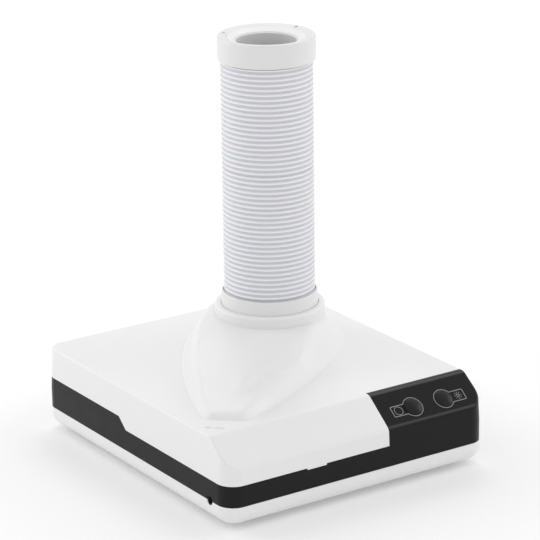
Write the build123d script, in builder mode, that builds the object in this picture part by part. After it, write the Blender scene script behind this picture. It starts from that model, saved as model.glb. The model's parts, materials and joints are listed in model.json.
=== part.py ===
from build123d import *
from math import cos, exp, hypot, radians, sin
import os

os.makedirs("parts", exist_ok=True)

# Desktop nail dust collector. Millimetres. The front, with the control console, faces -Y.
# The origin is on the floor under the middle of the body, and +Z is up.

# ---------------------------------------------------------------- driving dimensions
WIDTH = 220.0
DEPTH = 248.0
CORNER = 13.0
FOOT_GAP = 4.0

BAND_LOW = 18.0
BAND_FRONT = 33.3
BAND_REAR = 40.9
BAND_STEP_START = 8.3
BAND_STEP_END = 18.3

TOP = 64.0
DRAFT = 3.0
KNEE_Z = 45.2
CREST_Y = -99.6
KNEE_RADIUS = 8.0
CREST_RADIUS = 6.0
SIDE_EDGE = 1.8

TRAY_WALL = 2.5
TRAY_FLOOR = FOOT_GAP + TRAY_WALL
TRAY_EDGE = 9.0
FRAME_WALL = 2.5
COVER_WALL = 2.2
BODY_GAP = 0.3

CONSOLE_LEFT = 24.5
CONSOLE_BACK = -96.0

HOSE_X = 33.5
HOSE_Y = 37.8
NECK_LOW = 85.4
NECK_TOP = 93.5
NECK_RADIUS = 40.7
NECK_BORE = 36.2
NECK_LIP = 2.7
NECK_EDGE = 2.0
COLLAR_TOP = 103.5
COLLAR_FLANGE = 38.0
HOSE_RADIUS = 33.8
HOSE_VALLEY = 32.3
HOSE_BORE = 31.2
HOSE_TOP = 277.0
RIBS_LOWER = 26
RIBS_UPPER = 22
PITCH = (HOSE_TOP - COLLAR_TOP) / (RIBS_LOWER + RIBS_UPPER)
RIBS_HIDDEN_LOW = 2
RIBS_HIDDEN_TOP = 1
NOZZLE_RADIUS = 35.5
NOZZLE_HEIGHT = 17.7
NOZZLE_TOP = HOSE_TOP + NOZZLE_HEIGHT
MOUTH_RADIUS = 21.8

# The duct under the neck is a tapering dome that runs from the neck towards the front left corner.
DUCT_HEADING = 226.5
DUCT_LENGTH = 167.0
FOOT_LEFT = 60.0
FOOT_RIGHT = 55.0
TIP_LEFT = 18.0
TIP_RIGHT = 11.0
TIP_CORNER = 6.5
RIDGE_HIGH = 22.3
RIDGE_LOW = 5.2
SHOULDER_FALL = 0.32
DOME_SKIRT = 3.0
DOME_ROWS = 66
DOME_COLUMNS = 37
DOME_WALL = 2.6

BUTTON_UP = 13.0
BUTTON_RADIUS = 6.9
BUTTON_CROWN = 2.2
BUTTON_BALL = 17.0
BUTTON_TRAVEL = 1.2
BUTTON_GAP = 0.3
FAN_X = 52.0
LED_X = 79.0

JACK_Y = -101.0
JACK_HOLE = 3.4

BLOWER_X = -5.0
BLOWER_Y = 12.0
SCROLL_RADIUS = 60.0
BLOWER_WALL = 2.0
BLOWER_LOW = 8.0
BLOWER_TOP = 33.0
LID_TOP = 35.0
INLET_RADIUS = 35.0
OUTLET_LEFT = 8.0
OUTLET_RIGHT = 62.0
OUTLET_END = 118.9
SHAFT_RADIUS = 1.5
MOTOR_RADIUS = 17.0

PLATE_LOW = 37.0
PLATE_TOP = 39.5
FILTER_SIZE = 150.0
FILTER_LOW = 41.0
FILTER_TOP = 54.0

POST_X = 94.0
POST_Y = 80.0
POST_RADIUS = 4.6
SCREW_RADIUS = 1.5
FOOT_X = 78.0
FOOT_Y = 92.0
FOOT_RADIUS = 8.0
HEAD_RADIUS = 3.0
CIRCUIT_AT = (58, -72)

# ---------------------------------------------------------------- shared planes
SLANT_RUN = CREST_Y + DEPTH / 2
SLANT_RISE = TOP - KNEE_Z
SLANT_LENGTH = hypot(SLANT_RUN, SLANT_RISE)
SLANT_UP = Vector(0, SLANT_RUN, SLANT_RISE) / SLANT_LENGTH
SLANT_NORMAL = Vector(0, -SLANT_RISE, SLANT_RUN) / SLANT_LENGTH
HOSE_CENTRE = Vector(HOSE_X, HOSE_Y, 0)
HOSE_PLANE = Plane(origin=HOSE_CENTRE, x_dir=(1, 0, 0), z_dir=(0, -1, 0))


def slant_plane(x, up, out):
    """A plane on the console's slanted face, out along its normal."""
    origin = Vector(x, -DEPTH / 2, KNEE_Z) + SLANT_UP * up + SLANT_NORMAL * out
    return Plane(origin=origin, x_dir=(1, 0, 0), z_dir=SLANT_NORMAL)


def rounded_slab(low, high, inset):
    """A slab with the body's footprint, pulled in by inset all round."""
    with BuildPart() as slab:
        with BuildSketch(Plane.XY.offset(low)):
            RectangleRounded(WIDTH - 2 * inset, DEPTH - 2 * inset, max(CORNER - inset, 1.0))
        extrude(amount=high - low)
    return slab.part


def shell_block(inset):
    """The body above the band: drafted sides, a soft knee, a slanted front and a flat top."""
    low = BAND_LOW
    with BuildPart() as block:
        with BuildSketch(Plane.XY.offset(low)):
            RectangleRounded(WIDTH - 2 * inset, DEPTH - 2 * inset, CORNER - inset)
        extrude(amount=BAND_FRONT - low)
        with BuildSketch(Plane.XY.offset(BAND_FRONT)):
            RectangleRounded(WIDTH - 2 * inset, DEPTH - 2 * inset, CORNER - inset)
        extrude(amount=TOP - inset - BAND_FRONT, taper=DRAFT)
        front = -DEPTH / 2 + inset
        knee = Vector(0, -DEPTH / 2, KNEE_Z) - SLANT_NORMAL * inset
        knee_z = knee.Z + (front - knee.Y) * SLANT_RISE / SLANT_RUN
        crest_y = front + (TOP - inset - knee_z) * SLANT_RUN / SLANT_RISE
        with BuildSketch(Plane.YZ.offset(-WIDTH)):
            with BuildLine():
                FilletPolyline(
                    (DEPTH, low),
                    (front, low),
                    (front, knee_z),
                    (crest_y, TOP - inset),
                    (DEPTH, TOP - inset),
                    radius=[0.5, KNEE_RADIUS, CREST_RADIUS],
                )
                Line((DEPTH, TOP - inset), (DEPTH, low))
            make_face()
        extrude(amount=2 * WIDTH, mode=Mode.INTERSECT)
        upper = block.edges().filter_by(lambda e: e.center().Z > KNEE_Z - inset + 1.0)
        outer = upper.filter_by(lambda e: abs(e.center().X) > WIDTH / 2 - CORNER or e.center().Y > DEPTH / 2 - CORNER)
        side = outer.filter_by(lambda e: abs(e.tangent_at(0.5).Z) < 0.95)
        if inset == 0:
            fillet(side, radius=SIDE_EDGE)
    return block.part


def band_cutter(raise_by):
    """Everything under the cover's lower edge, which steps up towards the rear."""
    with BuildPart() as cutter:
        with BuildSketch(Plane.YZ.offset(-WIDTH)):
            with BuildLine():
                Polyline(
                    (-DEPTH, 0),
                    (-DEPTH, BAND_FRONT + raise_by),
                    (BAND_STEP_START, BAND_FRONT + raise_by),
                    (BAND_STEP_END, BAND_REAR + raise_by),
                    (DEPTH, BAND_REAR + raise_by),
                    (DEPTH, 0),
                    close=True,
                )
            make_face()
        extrude(amount=2 * WIDTH)
    return cutter.part


def console_region(grow):
    """The corner that the black console takes out of the cover."""
    with BuildPart() as region:
        with BuildSketch(Plane.XY):
            with Locations((CONSOLE_LEFT - grow, -DEPTH)):
                Rectangle(WIDTH, CONSOLE_BACK + DEPTH + grow, align=(Align.MIN, Align.MIN))
        extrude(amount=2 * TOP)
    return region.part


def smooth_step(t):
    """Eases from 0 to 1 while t goes from 0 to 1."""
    t = min(max(t, 0.0), 1.0)
    return t * t * (3 - 2 * t)


def dome_inside(s, p):
    """How far (s, p) is inside the dome's foot: s along the duct from the neck, p to its right."""
    width = FOOT_RIGHT if p > 0 else FOOT_LEFT
    if s < 0:
        return width - hypot(s, p)
    tip = TIP_RIGHT if p > 0 else TIP_LEFT
    side = width - (width - tip) * min(s / DUCT_LENGTH, 1.1) ** 1.8 - abs(p)
    end = DUCT_LENGTH - s
    if side > TIP_CORNER or end > TIP_CORNER:
        return min(side, end)
    return TIP_CORNER - hypot(TIP_CORNER - side, TIP_CORNER - end)


def dome_height(s, p):
    """The dome's height over the flat top: a falling ridge with a lower shoulder on each side."""
    ridge = RIDGE_HIGH - (RIDGE_HIGH - RIDGE_LOW) * max(s - NECK_RADIUS, 0) / (DUCT_LENGTH - NECK_RADIUS)
    if p > 0:
        crease = 2.0 + 44.0 * exp((70.0 - s) / 24.0)
        fall = SHOULDER_FALL * (1 - smooth_step((s - 122.0) / 24.0))
        flank = max(21.0 - 0.09 * max(s, 0), 6.0)
    else:
        crease = max(9.0 + 0.25 * (s - 125.0), 4.0)
        fall = 0.5 * SHOULDER_FALL * smooth_step((s - 112.0) / 22.0)
        flank = max(15.0 - 0.055 * max(s, 0), 6.0)
    lowered = 1 - fall * min(abs(p) / crease, 1.0) ** 2.0
    inside = dome_inside(s, p) + DOME_SKIRT
    return ridge * lowered * smooth_step(inside / (flank + DOME_SKIRT)) - 0.9 + 0.3 * min(inside, 0)


def duct_dome(drop):
    """The solid under the dome's surface, which is lowered by drop."""
    heading = Vector(cos(radians(DUCT_HEADING)), sin(radians(DUCT_HEADING)), 0)
    side = Vector(-heading.Y, heading.X, 0)
    rows = []
    for i in range(DOME_ROWS):
        s = -76.0 + i * (DUCT_LENGTH + 96.0) / (DOME_ROWS - 1)
        row = []
        for j in range(DOME_COLUMNS):
            p = -74.0 + j * 144.0 / (DOME_COLUMNS - 1)
            lift = Vector(0, 0, TOP + dome_height(s, p) - drop)
            row.append(HOSE_CENTRE + heading * s + side * p + lift)
        rows.append(row)
    skin = Face.make_surface_from_array_of_points(rows, tol=0.05, min_deg=3, max_deg=5)
    with BuildPart() as dome:
        extrude(skin, amount=40.0, dir=(0, 0, -1))
        with BuildSketch(Plane.XY.offset(TOP - COVER_WALL - 0.6)):
            Rectangle(WIDTH - 8, DEPTH - 8)
        extrude(amount=60.0, mode=Mode.INTERSECT)
    return dome.part


def hose_ring(points):
    """Turns a closed outline of (radius, height) points about the hose's axis."""
    with BuildPart() as ring:
        with BuildSketch(HOSE_PLANE):
            with BuildLine():
                Polyline(*points, close=True)
            make_face()
        revolve(axis=Axis(HOSE_CENTRE, (0, 0, 1)))
    return ring.part


def write(part, name):
    part.label = name
    export_step(part, f"parts/{name}.step")


# ---------------------------------------------------------------- bottom tray
with BuildPart() as base_tray:
    with BuildSketch(Plane.XY.offset(FOOT_GAP)):
        RectangleRounded(WIDTH, DEPTH, CORNER)
    extrude(amount=BAND_LOW - FOOT_GAP)
    fillet(base_tray.faces().sort_by(Axis.Z)[0].edges(), radius=TRAY_EDGE)
    inner = WIDTH - 2 * TRAY_WALL, DEPTH - 2 * TRAY_WALL, CORNER - TRAY_WALL
    with BuildPart(mode=Mode.PRIVATE) as tray_hollow:
        with BuildSketch(Plane.XY.offset(TRAY_FLOOR)):
            RectangleRounded(*inner)
        extrude(amount=BAND_LOW)
        fillet(tray_hollow.faces().sort_by(Axis.Z)[0].edges(), radius=TRAY_EDGE - TRAY_WALL)
    add(tray_hollow.part, mode=Mode.SUBTRACT)
    with BuildSketch(Plane.XY.offset(TRAY_FLOOR - 0.5)):
        with GridLocations(2 * POST_X, 2 * POST_Y, 2, 2):
            Circle(POST_RADIUS)
    extrude(amount=BAND_LOW - TRAY_FLOOR + 0.5)
    with BuildSketch(Plane.XY.offset(FOOT_GAP)):
        with GridLocations(2 * POST_X, 2 * POST_Y, 2, 2):
            Circle(SCREW_RADIUS + 0.3)
    extrude(amount=BAND_LOW, mode=Mode.SUBTRACT)
    with BuildSketch(Plane.XY.offset(FOOT_GAP)):
        with GridLocations(2 * POST_X, 2 * POST_Y, 2, 2):
            Circle(HEAD_RADIUS + 0.4)
    extrude(amount=4.0, mode=Mode.SUBTRACT)
    with BuildSketch(Plane.XY.offset(FOOT_GAP)):
        with GridLocations(2 * FOOT_X, 2 * FOOT_Y, 2, 2):
            Circle(FOOT_RADIUS + 0.3)
    extrude(amount=1.0, mode=Mode.SUBTRACT)
    with BuildSketch(Plane.XY.offset(TRAY_FLOOR - 0.5)):
        with Locations(CIRCUIT_AT):
            with GridLocations(44, 26, 2, 2):
                Circle(2.6)
    extrude(amount=3.5)
    with BuildSketch(Plane.YZ.offset(-WIDTH / 2 - 1)):
        with Locations((JACK_Y, BAND_LOW)):
            Circle(JACK_HOLE)
    extrude(amount=TRAY_WALL + 2, mode=Mode.SUBTRACT)
write(base_tray.part, "base_tray")

with BuildPart() as rubber_feet:
    with BuildSketch(Plane.XY):
        with GridLocations(2 * FOOT_X, 2 * FOOT_Y, 2, 2):
            Circle(FOOT_RADIUS)
    extrude(amount=FOOT_GAP + 1.0)
    fillet(rubber_feet.faces().filter_by(Axis.Z).sort_by(Axis.Z)[:4].edges(), radius=1.0)
write(rubber_feet.part, "rubber_feet")

with BuildPart() as case_screws:
    with BuildSketch(Plane.XY.offset(FOOT_GAP + 1.6)):
        with GridLocations(2 * POST_X, 2 * POST_Y, 2, 2):
            Circle(HEAD_RADIUS)
    extrude(amount=2.4)
    with BuildSketch(Plane.XY.offset(FOOT_GAP + 4.0)):
        with GridLocations(2 * POST_X, 2 * POST_Y, 2, 2):
            Circle(SCREW_RADIUS)
    extrude(amount=20.0)
    with BuildSketch(Plane.XY.offset(FOOT_GAP + 1.6)):
        with GridLocations(2 * POST_X, 2 * POST_Y, 2, 2):
            Rectangle(4.0, 0.8)
            Rectangle(0.8, 4.0)
    extrude(amount=1.2, mode=Mode.SUBTRACT)
write(case_screws.part, "case_screws")

# ---------------------------------------------------------------- black frame and console
LIP_OUT = 3.0
LIP_IN = 5.0
LEDGE_IN = 9.0
WEB_LOW = 30.8
TAB_LEFT = -45.0
TAB_RIGHT = -29.0
TAB_DROP = 0.9
GRILLE_LEFT = 5.0
GRILLE_RIGHT = 65.0
GRILLE_LOW = 20.0
GRILLE_HIGH = 30.3

with BuildPart() as mid_frame:
    add(shell_block(0.0))
    add(band_cutter(0.0), mode=Mode.INTERSECT)
    add(rounded_slab(0, BAND_REAR + 5, FRAME_WALL), mode=Mode.SUBTRACT)
    with BuildPart(mode=Mode.PRIVATE) as console:
        add(shell_block(0.0))
        add(console_region(0.0), mode=Mode.INTERSECT)
        with BuildPart(mode=Mode.PRIVATE) as console_hollow:
            add(shell_block(FRAME_WALL))
            add(console_region(-FRAME_WALL), mode=Mode.INTERSECT)
        add(console_hollow.part, mode=Mode.SUBTRACT)
        add(rounded_slab(0, WEB_LOW, FRAME_WALL), mode=Mode.SUBTRACT)
    add(console.part)
    with BuildPart(mode=Mode.PRIVATE) as lip:
        add(rounded_slab(WEB_LOW, PLATE_TOP, LIP_OUT))
        add(rounded_slab(WEB_LOW, BAND_FRONT, FRAME_WALL - 0.2))
        add(rounded_slab(0, TOP, LIP_IN), mode=Mode.SUBTRACT)
        add(rounded_slab(PLATE_LOW - 2.5, PLATE_LOW, LIP_IN - 0.2))
        add(rounded_slab(0, TOP, LEDGE_IN), mode=Mode.SUBTRACT)
        add(console_region(COVER_WALL + 3 * BODY_GAP), mode=Mode.SUBTRACT)
    add(lip.part)
    with BuildSketch(Plane.XY.offset(BAND_LOW)):
        with GridLocations(2 * POST_X, 2 * POST_Y, 2, 2):
            Circle(POST_RADIUS)
        with GridLocations(2 * (POST_X + 6), 2 * POST_Y, 2, 2):
            Rectangle(12, 3)
    extrude(amount=PLATE_LOW - BAND_LOW)
    with BuildSketch(Plane.XY.offset(BAND_LOW)):
        with GridLocations(2 * POST_X, 2 * POST_Y, 2, 2):
            Circle(SCREW_RADIUS)
    extrude(amount=14.0, mode=Mode.SUBTRACT)
    with BuildSketch(Plane.YZ.offset(-WIDTH / 2 - 1)):
        with Locations((JACK_Y, BAND_LOW)):
            Circle(JACK_HOLE)
    extrude(amount=TRAY_WALL + 2, mode=Mode.SUBTRACT)
    with BuildSketch(Plane.XZ.offset(-DEPTH / 2 - 1)):
        with Locations(((GRILLE_LEFT + GRILLE_RIGHT) / 2, (GRILLE_LOW + GRILLE_HIGH) / 2)):
            Rectangle(GRILLE_RIGHT - GRILLE_LEFT, GRILLE_HIGH - GRILLE_LOW)
    extrude(amount=FRAME_WALL + 1.5, mode=Mode.SUBTRACT)
    with BuildSketch(Plane.XZ.offset(DEPTH / 2 + 1)):
        with Locations(((TAB_LEFT + TAB_RIGHT) / 2, BAND_FRONT)):
            Rectangle(TAB_RIGHT - TAB_LEFT + 0.8, 2 * (TAB_DROP + 0.3))
    extrude(amount=-FRAME_WALL - 0.9, mode=Mode.SUBTRACT)
    for x in (FAN_X, LED_X):
        with BuildSketch(slant_plane(x, BUTTON_UP, -6)):
            Circle(BUTTON_RADIUS + BUTTON_GAP)
        extrude(amount=8, mode=Mode.SUBTRACT)
write(mid_frame.part, "mid_frame")

# ---------------------------------------------------------------- top cover
with BuildPart() as top_cover:
    add(shell_block(0.0))
    add(duct_dome(0.0))
    with BuildSketch(Plane(origin=HOSE_CENTRE + Vector(0, 0, NECK_LOW - 4))):
        Circle(NECK_RADIUS)
    extrude(amount=NECK_TOP - NECK_LOW + 4)
    fillet(top_cover.faces().sort_by(Axis.Z)[-1].edges(), radius=NECK_EDGE)
    with BuildPart(mode=Mode.PRIVATE) as cover_hollow:
        add(shell_block(COVER_WALL))
        add(duct_dome(DOME_WALL))
        add(console_region(COVER_WALL + BODY_GAP), mode=Mode.SUBTRACT)
    add(cover_hollow.part, mode=Mode.SUBTRACT)
    add(console_region(BODY_GAP), mode=Mode.SUBTRACT)
    add(band_cutter(BODY_GAP), mode=Mode.SUBTRACT)
    with BuildSketch(Plane(origin=HOSE_CENTRE + Vector(0, 0, NECK_LOW - 10))):
        Circle(NECK_BORE)
    extrude(amount=NECK_TOP - NECK_LOW + 12, mode=Mode.SUBTRACT)
    with BuildSketch(Plane(origin=HOSE_CENTRE + Vector(0, 0, NECK_LOW - 12))):
        Circle(COLLAR_FLANGE + 0.4)
    extrude(amount=12 - NECK_LIP, mode=Mode.SUBTRACT)
    with BuildSketch(Plane.XZ.offset(DEPTH / 2)):
        with Locations(((TAB_LEFT + TAB_RIGHT) / 2, BAND_FRONT + BODY_GAP)):
            Rectangle(TAB_RIGHT - TAB_LEFT, 2 * (TAB_DROP + BODY_GAP))
    extrude(amount=-COVER_WALL)
write(top_cover.part, "top_cover")

with BuildPart() as cover_seal:
    add(rounded_slab(PLATE_TOP, PLATE_TOP + 1.6, LIP_IN + 0.6))
    add(rounded_slab(0, TOP, LEDGE_IN + 1.0), mode=Mode.SUBTRACT)
    add(console_region(COVER_WALL + 3.0), mode=Mode.SUBTRACT)
write(cover_seal.part, "cover_seal")

# ---------------------------------------------------------------- hose
COLLAR_LOW = NECK_LOW - 5.6
HOSE_LOW = COLLAR_TOP - RIBS_HIDDEN_LOW * PITCH
HOSE_SPLIT = COLLAR_TOP + RIBS_LOWER * PITCH
HOSE_END = HOSE_TOP + RIBS_HIDDEN_TOP * PITCH
FLANGE_TOP = NECK_LOW - NECK_LIP - BODY_GAP
COLLAR_OUTLINE = [
    (31.0, COLLAR_LOW),
    (COLLAR_FLANGE, COLLAR_LOW),
    (COLLAR_FLANGE, FLANGE_TOP),
    (NECK_BORE - BODY_GAP, FLANGE_TOP),
    (NECK_BORE - BODY_GAP, NECK_TOP),
    (35.2, COLLAR_TOP - 0.6),
    (34.8, COLLAR_TOP),
    (34.1, COLLAR_TOP),
    (34.1, HOSE_LOW),
    (31.0, HOSE_LOW),
]
with BuildPart() as hose_collar:
    add(hose_ring(COLLAR_OUTLINE))
write(hose_collar.part, "hose_collar")


def ribbed_tube(low, ribs):
    """A tube with one rounded rib for each pitch of its length."""
    with BuildPart() as tube:
        with BuildSketch(HOSE_PLANE):
            with BuildLine():
                for i in range(ribs):
                    z = low + i * PITCH
                    ThreePointArc(
                        (HOSE_VALLEY, z),
                        (HOSE_RADIUS, z + PITCH / 2),
                        (HOSE_VALLEY, z + PITCH),
                    )
                Line((HOSE_VALLEY, low + ribs * PITCH), (HOSE_BORE, low + ribs * PITCH))
                Line((HOSE_BORE, low + ribs * PITCH), (HOSE_BORE, low))
                Line((HOSE_BORE, low), (HOSE_VALLEY, low))
            make_face()
        revolve(axis=Axis(HOSE_CENTRE, (0, 0, 1)))
    return tube.part


with BuildPart() as hose_lower:
    add(ribbed_tube(HOSE_LOW, RIBS_LOWER + RIBS_HIDDEN_LOW))
write(hose_lower.part, "hose_lower")

with BuildPart() as hose_upper:
    add(ribbed_tube(HOSE_SPLIT, RIBS_UPPER + RIBS_HIDDEN_TOP))
write(hose_upper.part, "hose_upper")

with BuildPart() as hose_cuff:
    cuff_low, cuff_high = HOSE_SPLIT - 6.0, HOSE_SPLIT + 6.0
    add(hose_ring([(29.6, cuff_low), (31.1, cuff_low), (31.1, cuff_high), (29.6, cuff_high)]))
write(hose_cuff.part, "hose_cuff")

# ---------------------------------------------------------------- nozzle with its lamp
LAMP_IN = 22.9
LAMP_OUT = 28.7
LAMP_FLOOR = NOZZLE_TOP - 7.4
RIM_LAND = 2.9
RIM_ROUND = 1.9
FUNNEL_LAMP = 1.3
FUNNEL_LIP = 3.9
MOUTH_DEPTH = 4.6
NOZZLE_OUTLINE = [
    (34.2, HOSE_TOP),
    (NOZZLE_RADIUS, HOSE_TOP),
    (NOZZLE_RADIUS, NOZZLE_TOP),
    (NOZZLE_RADIUS - RIM_LAND, NOZZLE_TOP),
    (LAMP_OUT, NOZZLE_TOP - FUNNEL_LAMP),
    (LAMP_OUT, LAMP_FLOOR),
    (LAMP_IN, LAMP_FLOOR),
    (LAMP_IN, NOZZLE_TOP - FUNNEL_LIP),
    (MOUTH_RADIUS, NOZZLE_TOP - MOUTH_DEPTH),
    (MOUTH_RADIUS, HOSE_END + 0.1),
    (34.2, HOSE_END + 0.1),
]
SCREW_CIRCLE = 0.89 * NOZZLE_RADIUS
SCREW_ANGLE = 13.0
SCREW_DEPTH = 2.4
with BuildPart() as nozzle_ring:
    add(hose_ring(NOZZLE_OUTLINE))
    rim = nozzle_ring.edges().filter_by(GeomType.CIRCLE)
    fillet(rim.filter_by(lambda e: e.radius > 35 and e.center().Z > NOZZLE_TOP - 0.1), radius=RIM_ROUND)
    rim = nozzle_ring.edges().filter_by(GeomType.CIRCLE)
    fillet(rim.filter_by(lambda e: e.radius > 35 and e.center().Z < HOSE_TOP + 0.1), radius=0.6)
    with BuildSketch(Plane(origin=HOSE_CENTRE + Vector(0, 0, NOZZLE_TOP))):
        with PolarLocations(SCREW_CIRCLE, 3, start_angle=SCREW_ANGLE):
            Circle(1.3)
    extrude(amount=-SCREW_DEPTH, mode=Mode.SUBTRACT)
    with BuildSketch(Plane(origin=HOSE_CENTRE + Vector(0, 0, NOZZLE_TOP))):
        with PolarLocations(SCREW_CIRCLE, 3, start_angle=SCREW_ANGLE):
            Circle(0.8)
    extrude(amount=-9.0, mode=Mode.SUBTRACT)
write(nozzle_ring.part, "nozzle_ring")

with BuildPart() as nozzle_screws:
    with BuildSketch(Plane(origin=HOSE_CENTRE + Vector(0, 0, NOZZLE_TOP - SCREW_DEPTH))):
        with PolarLocations(SCREW_CIRCLE, 3, start_angle=SCREW_ANGLE):
            Circle(1.15)
    extrude(amount=1.0)
    with BuildSketch(Plane(origin=HOSE_CENTRE + Vector(0, 0, NOZZLE_TOP - SCREW_DEPTH))):
        with PolarLocations(SCREW_CIRCLE, 3, start_angle=SCREW_ANGLE):
            Circle(0.8)
    extrude(amount=-6.0)
write(nozzle_screws.part, "nozzle_screws")

with BuildPart() as lamp_diffuser:
    lamp_outline = [
        (LAMP_IN + 0.1, NOZZLE_TOP - 5.2),
        (LAMP_OUT - 0.1, NOZZLE_TOP - 5.2),
        (LAMP_OUT - 0.1, NOZZLE_TOP - FUNNEL_LAMP),
        (LAMP_IN + 0.1, NOZZLE_TOP - FUNNEL_LIP + 0.2),
    ]
    add(hose_ring(lamp_outline))
write(lamp_diffuser.part, "lamp_diffuser")

with BuildPart() as lamp_board:
    board_top = LAMP_FLOOR + 1.0
    inside, outside = LAMP_IN + 0.2, LAMP_OUT - 0.2
    add(hose_ring([(inside, LAMP_FLOOR), (outside, LAMP_FLOOR), (outside, board_top), (inside, board_top)]))
write(lamp_board.part, "lamp_board")

with BuildPart() as lamp_leds:
    with BuildSketch(Plane(origin=HOSE_CENTRE + Vector(0, 0, LAMP_FLOOR + 1.0))):
        with PolarLocations((LAMP_IN + LAMP_OUT) / 2, 12):
            Rectangle(2.8, 3.5)
    extrude(amount=0.9)
write(lamp_leds.part, "lamp_leds")

# ---------------------------------------------------------------- controls
STEM_RADIUS = 2.2
FLANGE_RADIUS = 8.3
SWITCH_TOP = -9.0


def button(x):
    """A domed cap in the console, with a flange behind the panel and a stem to its switch."""
    with BuildPart() as cap:
        with BuildSketch(slant_plane(x, BUTTON_UP, -2.7)):
            Circle(BUTTON_RADIUS)
        extrude(amount=3.6)
        fillet(cap.faces().sort_by(Axis((0, -DEPTH / 2, KNEE_Z), SLANT_NORMAL))[-1].edges(), radius=0.8)
        with BuildSketch(slant_plane(x, BUTTON_UP, -3.7)):
            Circle(FLANGE_RADIUS)
        extrude(amount=1.0)
        with BuildSketch(slant_plane(x, BUTTON_UP, -3.7)):
            Circle(STEM_RADIUS)
        extrude(amount=SWITCH_TOP + 3.7 + BUTTON_TRAVEL + 0.2)
        with BuildSketch(slant_plane(x, BUTTON_UP, 0.4)):
            Circle(BUTTON_RADIUS - 0.4)
        extrude(amount=BUTTON_CROWN)
        ball = Sphere(BUTTON_BALL, mode=Mode.PRIVATE)
        ball.position = slant_plane(x, BUTTON_UP, BUTTON_CROWN - BUTTON_BALL).origin
        add(ball, mode=Mode.INTERSECT)
    return cap.part


for name, x in (("fan_button", FAN_X), ("led_button", LED_X)):
    write(button(x), name)

for name, x in (("fan_spring", FAN_X), ("led_spring", LED_X)):
    with BuildPart() as button_spring:
        with BuildSketch(slant_plane(x, BUTTON_UP, SWITCH_TOP)):
            Circle(3.6)
            Circle(2.8, mode=Mode.SUBTRACT)
        extrude(amount=-3.7 - SWITCH_TOP)
    write(button_spring.part, name)

for name, x in (("fan_switch", FAN_X), ("led_switch", LED_X)):
    with BuildPart() as switch:
        with BuildSketch(slant_plane(x, BUTTON_UP, SWITCH_TOP)):
            RectangleRounded(8.0, 8.0, 0.6)
        extrude(amount=-3.4)
    write(switch.part, name)

BOARD_TOP = SWITCH_TOP - 3.4
BOARD_X = (FAN_X + LED_X) / 2
BOARD_SPAN = 54.0
with BuildPart() as button_board:
    with BuildSketch(slant_plane(BOARD_X, BUTTON_UP, BOARD_TOP)):
        RectangleRounded(BOARD_SPAN, 15.0, 1.0)
        with GridLocations(BOARD_SPAN - 6, 0, 2, 1):
            Circle(1.3, mode=Mode.SUBTRACT)
    extrude(amount=-1.6)
write(button_board.part, "button_board")

with BuildPart() as board_screws:
    with BuildSketch(slant_plane(BOARD_X, BUTTON_UP, BOARD_TOP - 1.6)):
        with GridLocations(BOARD_SPAN - 6, 0, 2, 1):
            Circle(2.2)
    extrude(amount=-1.4)
    with BuildSketch(slant_plane(BOARD_X, BUTTON_UP, BOARD_TOP - 1.6)):
        with GridLocations(BOARD_SPAN - 6, 0, 2, 1):
            Circle(1.2)
    extrude(amount=4.4)
write(board_screws.part, "board_screws")

# A thin raised line outlines each button and the little panel beside it, and each panel has a sign.
LINE = 0.55
LINE_HEIGHT = 0.3
PANEL_LOW = 8.3
PANEL_HIGH = 17.2
PANEL_WIDTH = 13.6
PANEL_NEAR = 4.6
with BuildPart() as console_marks:
    for x, side in ((FAN_X, -1), (LED_X, 1)):
        middle = (PANEL_LOW + PANEL_HIGH) / 2 - BUTTON_UP
        reach = PANEL_NEAR + PANEL_WIDTH / 2
        with BuildSketch(slant_plane(x, BUTTON_UP, 0)):
            Circle(BUTTON_RADIUS + 1.0)
            with Locations((side * reach, middle)):
                RectangleRounded(PANEL_WIDTH, PANEL_HIGH - PANEL_LOW, 1.2)
            with Locations((side * reach, middle)):
                RectangleRounded(PANEL_WIDTH - 2 * LINE, PANEL_HIGH - PANEL_LOW - 2 * LINE, 0.7,
                                 mode=Mode.SUBTRACT)
            Circle(BUTTON_RADIUS + 1.0 - LINE, mode=Mode.SUBTRACT)
        extrude(amount=LINE_HEIGHT)
    fan_sign = slant_plane(FAN_X - PANEL_NEAR - PANEL_WIDTH / 2 - 1.2, 12.75, 0)
    with BuildSketch(fan_sign):
        Circle(0.7)
        with PolarLocations(1.6, 4, start_angle=20):
            Ellipse(1.2, 0.62)
        Circle(3.5)
        Circle(3.1, mode=Mode.SUBTRACT)
    extrude(amount=LINE_HEIGHT)
    lamp_sign = slant_plane(LED_X + PANEL_NEAR + PANEL_WIDTH / 2 + 1.2, 12.75, 0)
    with BuildSketch(lamp_sign):
        Circle(1.3)
        Circle(0.8, mode=Mode.SUBTRACT)
        with PolarLocations(2.5, 8):
            Rectangle(1.1, 0.45)
    extrude(amount=LINE_HEIGHT)
write(console_marks.part, "console_marks")

# ---------------------------------------------------------------- supply inlet and boards
with BuildPart() as dc_jack:
    with BuildSketch(Plane.YZ.offset(-WIDTH / 2 + TRAY_WALL + 0.1)):
        with Locations((JACK_Y, BAND_LOW)):
            RectangleRounded(9.0, 11.0, 0.8)
    extrude(amount=14.0)
    with BuildSketch(Plane.YZ.offset(-WIDTH / 2 + 0.5)):
        with Locations((JACK_Y, BAND_LOW)):
            Circle(JACK_HOLE - 0.15)
    extrude(amount=TRAY_WALL)
    with BuildSketch(Plane.YZ.offset(-WIDTH / 2 + 0.5)):
        with Locations((JACK_Y, BAND_LOW)):
            Circle(2.8)
    extrude(amount=12.0, mode=Mode.SUBTRACT)
write(dc_jack.part, "dc_jack")

with BuildPart() as dc_pin:
    with BuildSketch(Plane.YZ.offset(-WIDTH / 2 + 3.0)):
        with Locations((JACK_Y, BAND_LOW)):
            Circle(1.05)
    extrude(amount=9.5)
    fillet(dc_pin.faces().sort_by(Axis.X)[0].edges(), radius=0.5)
write(dc_pin.part, "dc_pin")

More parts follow.
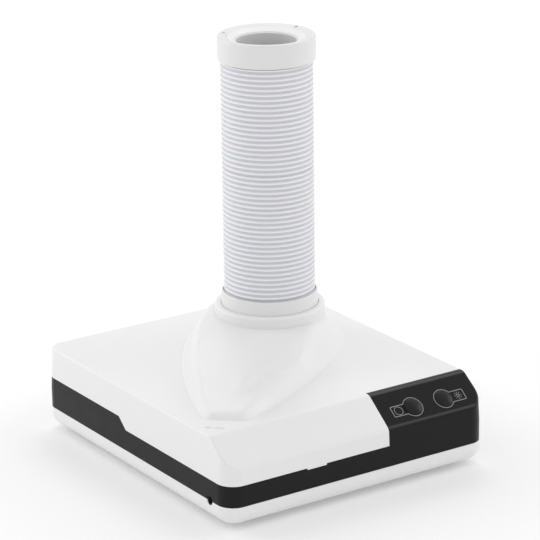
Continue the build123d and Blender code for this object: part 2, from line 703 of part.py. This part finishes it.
BOARD_LOW = TRAY_FLOOR + 3.0
with BuildPart() as control_board:
    with BuildSketch(Plane.XY.offset(BOARD_LOW)):
        with Locations(CIRCUIT_AT):
            RectangleRounded(52, 34, 1.5)
    extrude(amount=1.6)
    with BuildSketch(Plane.XY.offset(BOARD_LOW + 1.6)):
        with Locations((46, -66), (62, -66)):
            Circle(4.0)
        with Locations((72, -78)):
            Rectangle(14, 10)
        with Locations((48, -80)):
            Rectangle(12, 6)
    extrude(amount=7.0)
write(control_board.part, "control_board")

WIRE_RADIUS = 0.9
WIRE_Z = TRAY_FLOOR + 1.2
with BuildPart() as wiring:
    for shift, start in ((0.0, (-93.2, JACK_Y + 1.5)), (4.0, (-93.2, JACK_Y - 2.5))):
        with BuildLine():
            lead = FilletPolyline(
                (start[0], start[1], 14.0 - shift),
                (start[0] + 12, start[1], 14.0 - shift),
                (start[0] + 26, start[1], WIRE_Z),
                (start[0] + 96, start[1], WIRE_Z),
                (start[0] + 116, start[1] + 16, WIRE_Z),
                (30.8, start[1] + 16, WIRE_Z + 3.0),
                radius=6,
            )
        with BuildSketch(Plane(origin=lead @ 0, z_dir=lead % 0)):
            Circle(WIRE_RADIUS)
        sweep()
write(wiring.part, "wiring")

# ---------------------------------------------------------------- blower
BLOWER = Vector(BLOWER_X, BLOWER_Y, 0)
OUTLET_X = (OUTLET_LEFT + OUTLET_RIGHT) / 2 - BLOWER_X
OUTLET_WIDTH = OUTLET_RIGHT - OUTLET_LEFT
OUTLET_LENGTH = OUTLET_END - BLOWER_Y
SNOUT_Y = 74.0
SNOUT_LENGTH = SNOUT_Y - BLOWER_Y
LUG_BOSS = 5.0
LUG_RADIUS = SCROLL_RADIUS + LUG_BOSS


def blower_plane(z):
    return Plane(origin=BLOWER + Vector(0, 0, z))


with BuildPart() as blower_housing:
    with BuildSketch(blower_plane(BLOWER_LOW)):
        Circle(SCROLL_RADIUS)
        with Locations((OUTLET_X, SNOUT_LENGTH / 2)):
            Rectangle(OUTLET_WIDTH, SNOUT_LENGTH)
        with PolarLocations(LUG_RADIUS, 3, start_angle=150, angular_range=240):
            Circle(LUG_BOSS)
    extrude(amount=BLOWER_TOP - BLOWER_LOW)
    with BuildSketch(blower_plane(BLOWER_LOW + BLOWER_WALL)):
        Circle(SCROLL_RADIUS - BLOWER_WALL)
        with Locations((OUTLET_X, OUTLET_LENGTH / 2 + 1)):
            Rectangle(OUTLET_WIDTH - 2 * BLOWER_WALL, OUTLET_LENGTH + 2)
    extrude(amount=BLOWER_TOP, mode=Mode.SUBTRACT)
    with BuildSketch(blower_plane(TRAY_FLOOR)):
        with PolarLocations(LUG_RADIUS, 3, start_angle=150, angular_range=240):
            Circle(LUG_BOSS)
    extrude(amount=BLOWER_LOW - TRAY_FLOOR)
    with BuildSketch(blower_plane(BLOWER_TOP)):
        with PolarLocations(LUG_RADIUS, 3, start_angle=150, angular_range=240):
            Circle(SCREW_RADIUS)
    extrude(amount=-8.0, mode=Mode.SUBTRACT)
write(blower_housing.part, "blower_housing")

with BuildPart() as outlet_duct:
    with BuildSketch(blower_plane(BLOWER_LOW)):
        with Locations((OUTLET_X, (SNOUT_LENGTH + OUTLET_LENGTH) / 2)):
            Rectangle(OUTLET_WIDTH, OUTLET_LENGTH - SNOUT_LENGTH)
    extrude(amount=BLOWER_TOP - BLOWER_LOW)
    with BuildSketch(blower_plane(BLOWER_LOW + BLOWER_WALL)):
        with Locations((OUTLET_X, (SNOUT_LENGTH + OUTLET_LENGTH) / 2)):
            Rectangle(OUTLET_WIDTH - 2 * BLOWER_WALL, OUTLET_LENGTH - SNOUT_LENGTH)
    extrude(amount=BLOWER_TOP, mode=Mode.SUBTRACT)
write(outlet_duct.part, "outlet_duct")

with BuildPart() as blower_lid:
    with BuildSketch(blower_plane(BLOWER_TOP)):
        Circle(SCROLL_RADIUS)
        with Locations((OUTLET_X, OUTLET_LENGTH / 2)):
            Rectangle(OUTLET_WIDTH, OUTLET_LENGTH)
        with PolarLocations(LUG_RADIUS, 3, start_angle=150, angular_range=240):
            Circle(LUG_BOSS)
            Circle(SCREW_RADIUS + 0.2, mode=Mode.SUBTRACT)
        Circle(INLET_RADIUS, mode=Mode.SUBTRACT)
    extrude(amount=LID_TOP - BLOWER_TOP - 0.6)
    with BuildSketch(blower_plane(BLOWER_TOP)):
        Circle(INLET_RADIUS + 2.0)
        Circle(INLET_RADIUS, mode=Mode.SUBTRACT)
    extrude(amount=PLATE_LOW - BLOWER_TOP)
write(blower_lid.part, "blower_lid")

with BuildPart() as blower_screws:
    with BuildSketch(blower_plane(LID_TOP - 0.6)):
        with PolarLocations(LUG_RADIUS, 3, start_angle=150, angular_range=240):
            Circle(2.8)
    extrude(amount=1.6)
    with BuildSketch(blower_plane(LID_TOP - 0.6)):
        with PolarLocations(LUG_RADIUS, 3, start_angle=150, angular_range=240):
            Circle(SCREW_RADIUS)
    extrude(amount=-8.0)
write(blower_screws.part, "blower_screws")

MOTOR_LOW = BLOWER_LOW + BLOWER_WALL
MOTOR_TOP = 24.0
with BuildPart() as motor:
    with BuildSketch(blower_plane(MOTOR_LOW)):
        Circle(MOTOR_RADIUS)
    extrude(amount=MOTOR_TOP - MOTOR_LOW)
    fillet(motor.faces().sort_by(Axis.Z)[-1].edges(), radius=1.5)
    with BuildSketch(blower_plane(MOTOR_TOP)):
        Circle(4.0)
    extrude(amount=1.2)
    with BuildSketch(blower_plane(MOTOR_LOW + 2)):
        Circle(SHAFT_RADIUS + 0.05)
    extrude(amount=MOTOR_TOP, mode=Mode.SUBTRACT)
write(motor.part, "motor")

with BuildPart() as motor_shaft:
    with BuildSketch(blower_plane(MOTOR_LOW + 2.3)):
        Circle(SHAFT_RADIUS)
    extrude(amount=30.4 - MOTOR_LOW - 2.3)
write(motor_shaft.part, "motor_shaft")

IMPELLER_RADIUS = 46.0
IMPELLER_LOW = MOTOR_LOW + 1.5
IMPELLER_TOP = 31.0
HUB_RADIUS = 20.5
BLADES = 28
with BuildPart() as impeller:
    with BuildSketch(blower_plane(IMPELLER_LOW)):
        Circle(IMPELLER_RADIUS)
        Circle(HUB_RADIUS - 1.8, mode=Mode.SUBTRACT)
    extrude(amount=1.6)
    with BuildSketch(blower_plane(IMPELLER_LOW)):
        Circle(HUB_RADIUS)
        Circle(HUB_RADIUS - 1.8, mode=Mode.SUBTRACT)
    extrude(amount=28.0 - IMPELLER_LOW)
    with BuildSketch(blower_plane(26.4)):
        Circle(HUB_RADIUS)
    extrude(amount=1.8)
    with BuildSketch(blower_plane(26.0)):
        Circle(4.0)
    extrude(amount=4.4)
    with BuildSketch(blower_plane(20)):
        Circle(SHAFT_RADIUS)
    extrude(amount=20, mode=Mode.SUBTRACT)
    with BuildSketch(blower_plane(IMPELLER_LOW + 1.2)):
        with PolarLocations(IMPELLER_RADIUS - 5.0, BLADES):
            with Locations(Location((0, 0, 0), (0, 0, 35))):
                Rectangle(11.0, 1.2)
    extrude(amount=IMPELLER_TOP - IMPELLER_LOW - 1.2)
    with BuildSketch(blower_plane(IMPELLER_TOP - 1.6)):
        Circle(IMPELLER_RADIUS)
        Circle(IMPELLER_RADIUS - 8.0, mode=Mode.SUBTRACT)
    extrude(amount=1.6)
write(impeller.part, "impeller")

# ---------------------------------------------------------------- filter and partition
with BuildPart() as partition_plate:
    add(rounded_slab(PLATE_LOW, PLATE_TOP, LIP_IN + 0.3))
    add(console_region(3.0), mode=Mode.SUBTRACT)
    with BuildSketch(blower_plane(PLATE_LOW)):
        Circle(INLET_RADIUS)
    extrude(amount=PLATE_TOP - PLATE_LOW, mode=Mode.SUBTRACT)
write(partition_plate.part, "partition_plate")

with BuildPart() as filter_gasket:
    with BuildSketch(blower_plane(PLATE_TOP)):
        RectangleRounded(FILTER_SIZE, FILTER_SIZE, 5)
        RectangleRounded(FILTER_SIZE - 14, FILTER_SIZE - 14, 2, mode=Mode.SUBTRACT)
    extrude(amount=FILTER_LOW - PLATE_TOP)
write(filter_gasket.part, "filter_gasket")

with BuildPart() as filter_frame:
    with BuildSketch(blower_plane(FILTER_LOW)):
        RectangleRounded(FILTER_SIZE, FILTER_SIZE, 5)
        RectangleRounded(FILTER_SIZE - 8, FILTER_SIZE - 8, 2, mode=Mode.SUBTRACT)
    extrude(amount=FILTER_TOP - FILTER_LOW)
    for z in (FILTER_LOW, FILTER_TOP - 1.4):
        with BuildSketch(blower_plane(z)):
            RectangleRounded(FILTER_SIZE - 2, FILTER_SIZE - 2, 4)
            RectangleRounded(FILTER_SIZE - 16, FILTER_SIZE - 16, 2, mode=Mode.SUBTRACT)
            with GridLocations(0, FILTER_SIZE / 3, 1, 2):
                Rectangle(FILTER_SIZE - 10, 2.0)
        extrude(amount=1.4)
write(filter_frame.part, "filter_frame")

PLEATS = 24
MEDIA_SPAN = FILTER_SIZE - 9.6
MEDIA_LOW = FILTER_LOW + 1.5
MEDIA_HIGH = FILTER_TOP - 1.5
MEDIA_THICK = 1.2
with BuildPart() as filter_media:
    step = MEDIA_SPAN / PLEATS / 2
    rise = MEDIA_HIGH - MEDIA_LOW - MEDIA_THICK
    zigzag = [(-MEDIA_SPAN / 2 + i * step, MEDIA_LOW + rise * (i % 2)) for i in range(2 * PLEATS + 1)]
    upper = [(x, z + MEDIA_THICK) for x, z in reversed(zigzag)]
    with BuildSketch(Plane(origin=BLOWER + Vector(0, MEDIA_SPAN / 2, 0), x_dir=(1, 0, 0), z_dir=(0, -1, 0))):
        with BuildLine():
            Polyline(*zigzag, *upper, close=True)
        make_face()
    extrude(amount=MEDIA_SPAN)
write(filter_media.part, "filter_media")

# ---------------------------------------------------------------- rear outlet
with BuildPart() as exhaust_grille:
    slots = 14
    centre = ((GRILLE_LEFT + GRILLE_RIGHT) / 2, (GRILLE_LOW + GRILLE_HIGH) / 2)
    with BuildSketch(Plane.XZ.offset(-DEPTH / 2 + 0.4)):
        with Locations(centre):
            Rectangle(GRILLE_RIGHT - GRILLE_LEFT - 0.4, GRILLE_HIGH - GRILLE_LOW - 0.4)
            with GridLocations((GRILLE_RIGHT - GRILLE_LEFT - 4) / slots, 0, slots, 1):
                SlotOverall(7.4, 2.2, rotation=90, mode=Mode.SUBTRACT)
    extrude(amount=FRAME_WALL - 0.9)
write(exhaust_grille.part, "exhaust_grille")

with BuildPart() as exhaust_foam:
    with BuildSketch(Plane.XZ.offset(-DEPTH / 2 + FRAME_WALL)):
        with Locations(centre):
            Rectangle(GRILLE_RIGHT - GRILLE_LEFT + 2, GRILLE_HIGH - GRILLE_LOW - 0.4)
    extrude(amount=2.4)
write(exhaust_foam.part, "exhaust_foam")
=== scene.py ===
import json
import math

import bmesh
import bpy
from mathutils import Matrix, Vector


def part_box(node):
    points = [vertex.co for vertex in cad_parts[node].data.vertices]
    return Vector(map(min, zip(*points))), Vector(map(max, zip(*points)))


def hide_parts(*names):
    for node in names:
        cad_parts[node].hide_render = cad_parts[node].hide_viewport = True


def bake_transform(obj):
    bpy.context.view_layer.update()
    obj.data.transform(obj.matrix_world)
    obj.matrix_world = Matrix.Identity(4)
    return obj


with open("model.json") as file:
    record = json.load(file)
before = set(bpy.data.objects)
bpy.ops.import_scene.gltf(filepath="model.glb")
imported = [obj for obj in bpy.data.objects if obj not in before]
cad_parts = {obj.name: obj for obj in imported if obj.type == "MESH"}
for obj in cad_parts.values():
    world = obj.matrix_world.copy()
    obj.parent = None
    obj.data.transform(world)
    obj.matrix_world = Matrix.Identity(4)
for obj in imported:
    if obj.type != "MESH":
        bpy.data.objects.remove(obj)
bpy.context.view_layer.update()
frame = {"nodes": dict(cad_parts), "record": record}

MM = 0.001
scene = bpy.context.scene
record = frame["record"]
nodes = frame["nodes"]

# ---------------------------------------------------------------- sizes read from the frame
tray_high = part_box("base_tray")[1]
collar_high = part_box("hose_collar")[1]
nozzle_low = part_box("nozzle_ring")[0]
lower_low, lower_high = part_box("hose_lower")
upper_low, upper_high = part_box("hose_upper")
BAND_Z = tray_high.z
HOSE = (lower_low + lower_high) / 2
HOSE_RADIUS = (lower_high.x - lower_low.x) / 2
HOSE_RIBS = 48
PITCH = (nozzle_low.z - collar_high.z) / HOSE_RIBS

# ---------------------------------------------------------------- camera
CAMERA_PLACE = (-1.0244, -1.5506, BAND_Z + 0.7374)
CAMERA_YAW = -0.5878
CAMERA_PITCH = 0.3228
CAMERA_ROLL = -0.013
CAMERA_LENS = 182.74
CAMERA_SENSOR = 36.0
CAMERA_FAR = 20.0


def add_camera():
    """A long lens in front of the body's left corner, looking down on the cover and the hose's mouth."""
    yaw, pitch, roll = CAMERA_YAW, CAMERA_PITCH, CAMERA_ROLL
    back = Vector((math.sin(yaw) * math.cos(pitch), -math.cos(yaw) * math.cos(pitch), math.sin(pitch)))
    right = (-back).cross(Vector((0, 0, 1))).normalized()
    up = right.cross(-back)
    right_rolled = math.cos(roll) * right + math.sin(roll) * up
    up_rolled = -math.sin(roll) * right + math.cos(roll) * up
    data = bpy.data.cameras.new("camera")
    data.sensor_width = CAMERA_SENSOR
    data.lens = CAMERA_LENS
    data.clip_end = CAMERA_FAR
    camera = bpy.data.objects.new("camera", data)
    scene.collection.objects.link(camera)
    turn = Matrix((right_rolled, up_rolled, back)).transposed().to_4x4()
    camera.matrix_world = Matrix.Translation(CAMERA_PLACE) @ turn
    scene.camera = camera


# ---------------------------------------------------------------- light and floor
# name: (place, target, side, watts)
LIGHTS = {
    "rear_high": ((0.9, 1.2, 1.8), (0, 0, 0.08), 1.0, 5.7),
    "rear_left": ((-1.15, 1.7, 0.85), (0, 0, 0.12), 0.9, 9.5),
    "right": ((1.9, -0.5, 0.9), (0, 0, 0.10), 1.0, 6.1),
}
SKY = 0.89
FLOOR_HALF = 6.0
FLOOR_GLOW = 0.14
FLOOR_TONE = 0.80
FLOOR_ROUGHNESS = 0.7
FLOOR_SHINE = 0.1


def add_area(name, place, target, side, watts):
    data = bpy.data.lights.new(name, "AREA")
    data.shape = "RECTANGLE"
    data.size = side
    data.size_y = side
    data.energy = watts
    light = bpy.data.objects.new(name, data)
    scene.collection.objects.link(light)
    light.location = place
    light.rotation_euler = (Vector(target) - Vector(place)).to_track_quat("-Z", "Y").to_euler()


def add_sky():
    world = bpy.data.worlds.new("studio")
    scene.world = world
    world.use_nodes = True
    background = world.node_tree.nodes["Background"]
    background.inputs["Color"].default_value = (1, 1, 1, 1)
    background.inputs["Strength"].default_value = SKY
    scene.view_settings.view_transform = "Standard"
    scene.view_settings.look = "None"


def add_floor():
    """A pale matt floor that glows faintly, so that it fades into the sky."""
    half = FLOOR_HALF
    mesh = bpy.data.meshes.new("floor")
    corners = [(-half, -half, 0), (half, -half, 0), (half, half, 0), (-half, half, 0)]
    mesh.from_pydata(corners, [], [(0, 1, 2, 3)])
    floor = bpy.data.objects.new("floor", mesh)
    scene.collection.objects.link(floor)
    material = bpy.data.materials.new("floor")
    material.use_nodes = True
    shader = material.node_tree.nodes["Principled BSDF"]
    shader.inputs["Base Color"].default_value = (FLOOR_TONE, FLOOR_TONE, FLOOR_TONE, 1)
    shader.inputs["Roughness"].default_value = FLOOR_ROUGHNESS
    shader.inputs["Specular IOR Level"].default_value = FLOOR_SHINE
    shader.inputs["Emission Color"].default_value = (1, 1, 1, 1)
    shader.inputs["Emission Strength"].default_value = FLOOR_GLOW
    floor.data.materials.append(material)


# ---------------------------------------------------------------- how a material is made
NOISE_ROUGHNESS = 0.55
NOISE_LOW = 0.25
NOISE_HIGH = 0.75
SMOOTHEST = 0.02
EDGE_BLUE = 1.03


class Recipe:
    """A Principled material with noise in its roughness, tone and bump, all in object space."""

    def __init__(self, name, colour, roughness):
        self.material = bpy.data.materials.new(name)
        self.material.use_nodes = True
        self.tree = self.material.node_tree
        self.shader = self.tree.nodes["Principled BSDF"]
        self.shader.inputs["Base Color"].default_value = (*colour, 1)
        self.shader.inputs["Roughness"].default_value = roughness
        self.name = name
        self.colour = colour
        self.roughness = roughness
        self.normal = None
        self.coords = self.node("ShaderNodeTexCoord")

    def node(self, kind, **settings):
        made = self.tree.nodes.new(kind)
        for key, value in settings.items():
            setattr(made, key, value)
        return made

    def link(self, a, b):
        self.tree.links.new(a, b)

    def noise(self, scale, detail=3.0):
        made = self.node("ShaderNodeTexNoise")
        made.inputs["Scale"].default_value = scale
        made.inputs["Detail"].default_value = detail
        made.inputs["Roughness"].default_value = NOISE_ROUGHNESS
        self.link(self.coords.outputs["Object"], made.inputs["Vector"])
        return made.outputs["Fac"]

    def spread(self, value, low, high):
        """Stretches a noise value, which keeps to its middle, over a whole range."""
        made = self.node("ShaderNodeMapRange")
        made.inputs["From Min"].default_value = NOISE_LOW
        made.inputs["From Max"].default_value = NOISE_HIGH
        made.inputs["To Min"].default_value = low
        made.inputs["To Max"].default_value = high
        self.link(value, made.inputs["Value"])
        return made.outputs["Result"]

    def colour_mix(self, low, high, factor):
        mix = self.node("ShaderNodeMix", data_type="RGBA")
        mix.inputs["A"].default_value = (*low, 1)
        mix.inputs["B"].default_value = (*high, 1)
        self.link(factor, mix.inputs["Factor"])
        self.link(mix.outputs["Result"], self.shader.inputs["Base Color"])
        return self

    def vary_roughness(self, scale, amount):
        low = max(self.roughness - amount, SMOOTHEST)
        high = min(self.roughness + amount, 1.0)
        self.link(self.spread(self.noise(scale), low, high), self.shader.inputs["Roughness"])
        return self

    def vary_tone(self, scale, amount, tint=(1, 1, 1)):
        low = [max(c * (1 - amount), 0) for c in self.colour]
        high = [min(c * (1 + amount) * t, 1) for c, t in zip(self.colour, tint)]
        return self.colour_mix(low, high, self.spread(self.noise(scale), 0, 1))

    def paint_rib_shade_and_highlight(self, groove, crest):
        """Paints shade into the grooves and a highlight onto the crests: mixes from a groove colour to a
        crest colour by the mesh's crest attribute.
        """
        attribute = self.node("ShaderNodeAttribute", attribute_name="crest")
        return self.colour_mix(groove, crest, attribute.outputs["Fac"])

    def paint_highlights_by_lean(self, stops):
        """Painted highlights and shade: colour by the surface's upward lean, from stops of (lean, tone) on
        a smooth ramp.
        """
        split = self.node("ShaderNodeSeparateXYZ")
        self.link(self.coords.outputs["Normal"], split.inputs["Vector"])
        ramp = self.node("ShaderNodeValToRGB")
        ramp.color_ramp.interpolation = "EASE"
        while len(ramp.color_ramp.elements) < len(stops):
            ramp.color_ramp.elements.new(0.5)
        for element, (lean, tone) in zip(ramp.color_ramp.elements, stops):
            element.position = lean
            element.color = (tone, tone, EDGE_BLUE * tone, 1)
        self.link(split.outputs["Z"], ramp.inputs["Fac"])
        self.link(ramp.outputs["Color"], self.shader.inputs["Base Color"])
        return self

    def grain(self, scale, strength, distance, detail=2.0):
        """Adds a noise bump on top of the bumps already there."""
        made = self.node("ShaderNodeBump")
        made.inputs["Strength"].default_value = strength
        made.inputs["Distance"].default_value = distance
        self.link(self.noise(scale, detail), made.inputs["Height"])
        if self.normal is not None:
            self.link(self.normal, made.inputs["Normal"])
        self.normal = made.outputs["Normal"]
        self.link(self.normal, self.shader.inputs["Normal"])
        return self

    def set(self, **values):
        for key, value in values.items():
            self.shader.inputs[key.replace("_", " ")].default_value = value
        return self


# ---------------------------------------------------------------- materials
def white_plastics():
    """The cover's soft gloss and the satin of the other white mouldings."""
    gloss = Recipe("white_gloss", (0.80, 0.80, 0.80), 0.42)
    gloss.vary_roughness(35, 0.03).vary_tone(18, 0.008)
    gloss.grain(140, 0.05, 0.0004).grain(900, 0.04, 0.0001)
    gloss.set(Coat_Weight=0.04, Coat_Roughness=0.20)
    satin = Recipe("white_satin", (0.75, 0.75, 0.75), 0.38)
    satin.vary_roughness(60, 0.05).vary_tone(30, 0.01).grain(1500, 0.10, 0.0001)
    return gloss, satin


def hose_vinyl():
    """Painted shade in the ribs' grooves, bluish, and a painted highlight on their crests, nearly white.
    """
    vinyl = Recipe("hose_vinyl", (0.80, 0.80, 0.83), 0.42)
    # painted shade in the grooves and painted highlight on the crests, by the crest attribute
    vinyl.vary_roughness(80, 0.06).paint_rib_shade_and_highlight((0.63, 0.63, 0.68), (0.90, 0.90, 0.91))
    vinyl.grain(1200, 0.12, 0.0001).set(Subsurface_Weight=0.10, Subsurface_Scale=0.002)
    return vinyl


CONSOLE_TONE = 0.0115
# tones of the painted highlights on the console's crest and knee
CREST_PAINTED_HIGHLIGHT = 0.06
KNEE_PAINTED_HIGHLIGHT = 0.055
# (upward lean, tone): painted highlights on the knee, which faces two thirds up, and on the crest round
# the top edge, almost straight up; painted shade just below the knee
CONSOLE_PAINTED_LIGHT = (
    (0.0, CONSOLE_TONE),
    (0.1, CONSOLE_TONE),
    (0.2, 0.8 * CONSOLE_TONE),
    (0.45, CONSOLE_TONE),
    (0.66, KNEE_PAINTED_HIGHLIGHT),
    (0.76, CONSOLE_TONE),
    (0.82, CONSOLE_TONE),
    (0.87, CREST_PAINTED_HIGHLIGHT),
    (0.95, CREST_PAINTED_HIGHLIGHT),
    (0.99, CONSOLE_TONE),
)


def black_plastics():
    """The band and console, with highlights painted onto their rounded edges, the buttons and the hidden
    mouldings.
    """
    satin = Recipe("black_satin", (CONSOLE_TONE, CONSOLE_TONE, 0.0120), 0.33)
    # painted highlights on the knee and crest and painted shade below the knee, set by the surface's lean
    satin.vary_roughness(90, 0.05).paint_highlights_by_lean(CONSOLE_PAINTED_LIGHT)
    satin.grain(2600, 0.22, 0.00008).set(Specular_IOR_Level=0.13)
    button = Recipe("black_button", (0.013, 0.013, 0.0135), 0.30)
    button.vary_roughness(120, 0.05).grain(2000, 0.12, 0.00008).set(Specular_IOR_Level=0.16)
    moulding = Recipe("black_moulding", (0.02, 0.02, 0.02), 0.5)
    moulding.vary_roughness(150, 0.08).grain(1800, 0.2, 0.0001)
    return satin, button, moulding


def mark_silver():
    silver = Recipe("mark_silver", (0.24, 0.24, 0.245), 0.4)
    return silver.vary_roughness(400, 0.06).grain(2500, 0.1, 0.00005)


def foot_rubber():
    rubber = Recipe("foot_rubber", (0.03, 0.03, 0.03), 0.8)
    return rubber.vary_roughness(200, 0.08).grain(1500, 0.4, 0.0002)


def metals():
    """Screws and shaft, supply pin, and the motor's can."""
    steel = Recipe("steel", (0.62, 0.62, 0.63), 0.3)
    steel.vary_roughness(300, 0.08).grain(1200, 0.1, 0.0001)
    nickel = Recipe("nickel", (0.75, 0.73, 0.70), 0.18)
    nickel.vary_roughness(400, 0.06).grain(1500, 0.08, 0.0001)
    can = Recipe("motor_can", (0.55, 0.55, 0.53), 0.32)
    can.vary_roughness(200, 0.08).grain(700, 0.1, 0.0001)
    for metal in (steel, nickel, can):
        metal.set(Metallic=1.0)
    return steel, nickel, can


def circuit_board():
    board = Recipe("circuit_board", (0.03, 0.19, 0.07), 0.35)
    board.vary_roughness(120, 0.06).vary_tone(260, 0.35, (1.1, 1.1, 1.0))
    return board.grain(900, 0.2, 0.0001)


def wire_red():
    wire = Recipe("wire_red", (0.42, 0.02, 0.02), 0.45)
    return wire.vary_roughness(300, 0.06).grain(1600, 0.15, 0.0001)


def lamp_parts():
    """The milky ring and the yellow faces of the lights behind it."""
    diffuser = Recipe("lamp_diffuser", (0.84, 0.84, 0.82), 0.35)
    diffuser.vary_roughness(90, 0.05).grain(1200, 0.1, 0.0001)
    diffuser.set(Subsurface_Weight=0.3, Subsurface_Scale=0.003)
    led = Recipe("led_yellow", (0.80, 0.62, 0.10), 0.25)
    led.vary_roughness(500, 0.06).grain(1500, 0.1, 0.0001)
    return diffuser, led


def air_path_parts():
    """Foam, the grey partition and blower, the impeller and the pleated filter."""
    foam = Recipe("dark_foam", (0.035, 0.035, 0.036), 0.95)
    foam.vary_tone(700, 0.5).grain(900, 0.9, 0.0008)
    grey = Recipe("grey_plastic", (0.42, 0.42, 0.43), 0.45)
    grey.vary_roughness(90, 0.06).vary_tone(40, 0.03).grain(1500, 0.18, 0.0001)
    impeller = Recipe("impeller_plastic", (0.62, 0.63, 0.64), 0.4)
    impeller.vary_roughness(110, 0.06).grain(1400, 0.15, 0.0001)
    paper = Recipe("filter_paper", (0.80, 0.79, 0.73), 0.92)
    paper.vary_tone(160, 0.05).grain(1400, 0.6, 0.0004, 5.0)
    return foam, grey, impeller, paper


def make_materials():
    recipes = [*white_plastics(), hose_vinyl(), *black_plastics(), mark_silver(), foot_rubber()]
    recipes += [*metals(), circuit_board(), wire_red(), *lamp_parts(), *air_path_parts()]
    return {recipe.name: recipe.material for recipe in recipes}


SHARP_ANGLE = math.radians(35.0)


def dress(obj, material):
    obj.data.materials.clear()
    obj.data.materials.append(material)
    for polygon in obj.data.polygons:
        polygon.material_index = 0


def smooth_by_angle(obj):
    """Smooth shading, with the shading split at the sharp edges."""
    for polygon in obj.data.polygons:
        polygon.use_smooth = True
    split = obj.modifiers.new("sharp_edges", "EDGE_SPLIT")
    split.split_angle = SHARP_ANGLE
    split.use_edge_sharp = False


# ---------------------------------------------------------------- the hose
RIB_STEPS = 12
RIB_DEPTH = 1.5 * MM
RIB_TURN = 0.68
UNDERSIDE_POWER = 2.0
TOPSIDE_POWER = 0.8
HOSE_WALL = 1.0 * MM
AROUND = 144


def ease(t):
    return t * t * (3 - 2 * t)


def rib_bulge(t):
    """How far a rib stands out, from 0 to 1, while t goes from 0 to 1 up its side."""
    if t < RIB_TURN:
        return ease(t / RIB_TURN) ** UNDERSIDE_POWER
    return ease((1 - t) / (1 - RIB_TURN)) ** TOPSIDE_POWER


def rib_profile(low, ribs):
    """(radius, height, crest) up the outside of a ribbed hose: a long underside, then a short top."""
    groove = HOSE_RADIUS - RIB_DEPTH
    points = []
    for i in range(ribs):
        for k in range(RIB_STEPS):
            t = k / RIB_STEPS
            bulge = rib_bulge(t)
            points.append((groove + (HOSE_RADIUS - groove) * bulge, low + (i + t) * PITCH, bulge))
    points.append((groove, low + ribs * PITCH, 0.0))
    return points


def turned(name, profile):
    """Turns a closed loop of (radius, height, crest) about the hose's axis; crest goes to an attribute."""
    made = bmesh.new()
    rings = []
    for radius, z, _ in profile:
        ring = []
        for k in range(AROUND):
            a = 2 * math.pi * k / AROUND
            ring.append(made.verts.new((HOSE.x + radius * math.cos(a), HOSE.y + radius * math.sin(a), z)))
        rings.append(ring)
    for low, high in zip(rings, rings[1:] + rings[:1]):
        for k in range(AROUND):
            n = (k + 1) % AROUND
            made.faces.new((low[k], low[n], high[n], high[k]))
    bmesh.ops.recalc_face_normals(made, faces=made.faces)
    mesh = bpy.data.meshes.new(name)
    made.to_mesh(mesh)
    made.free()
    crest = mesh.attributes.new("crest", "FLOAT", "POINT")
    for i, point in enumerate(profile):
        for k in range(AROUND):
            crest.data[i * AROUND + k].value = point[2]
    for polygon in mesh.polygons:
        polygon.use_smooth = True
    obj = bpy.data.objects.new(name, mesh)
    scene.collection.objects.link(obj)
    return obj


def add_hose(name, node, low, high, material):
    """A thin ribbed hose in place of a CAD length, running straight up from the body below it to the one
    above.
    """
    ribs = round((high - low) / PITCH)
    outside = rib_profile(low, ribs)
    inside = [(radius - HOSE_WALL, z, bulge) for radius, z, bulge in reversed(outside)]
    obj = turned(name, outside + inside)
    dress(obj, material)
    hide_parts(node)
    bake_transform(obj)


# ---------------------------------------------------------------- build
materials = make_materials()
add_camera()
add_sky()
for name, light in LIGHTS.items():
    add_area(name, *light)
add_floor()
slot_of = {s["node"]: s["material_slot"] for s in record["subparts"]}
for name, obj in nodes.items():
    dress(obj, materials[slot_of[name]])
    smooth_by_angle(obj)
vinyl = materials["hose_vinyl"]
add_hose("hose_stretch", "hose_lower", lower_low.z, lower_high.z, vinyl)
add_hose("hose_bend", "hose_upper", upper_low.z, upper_high.z, vinyl)
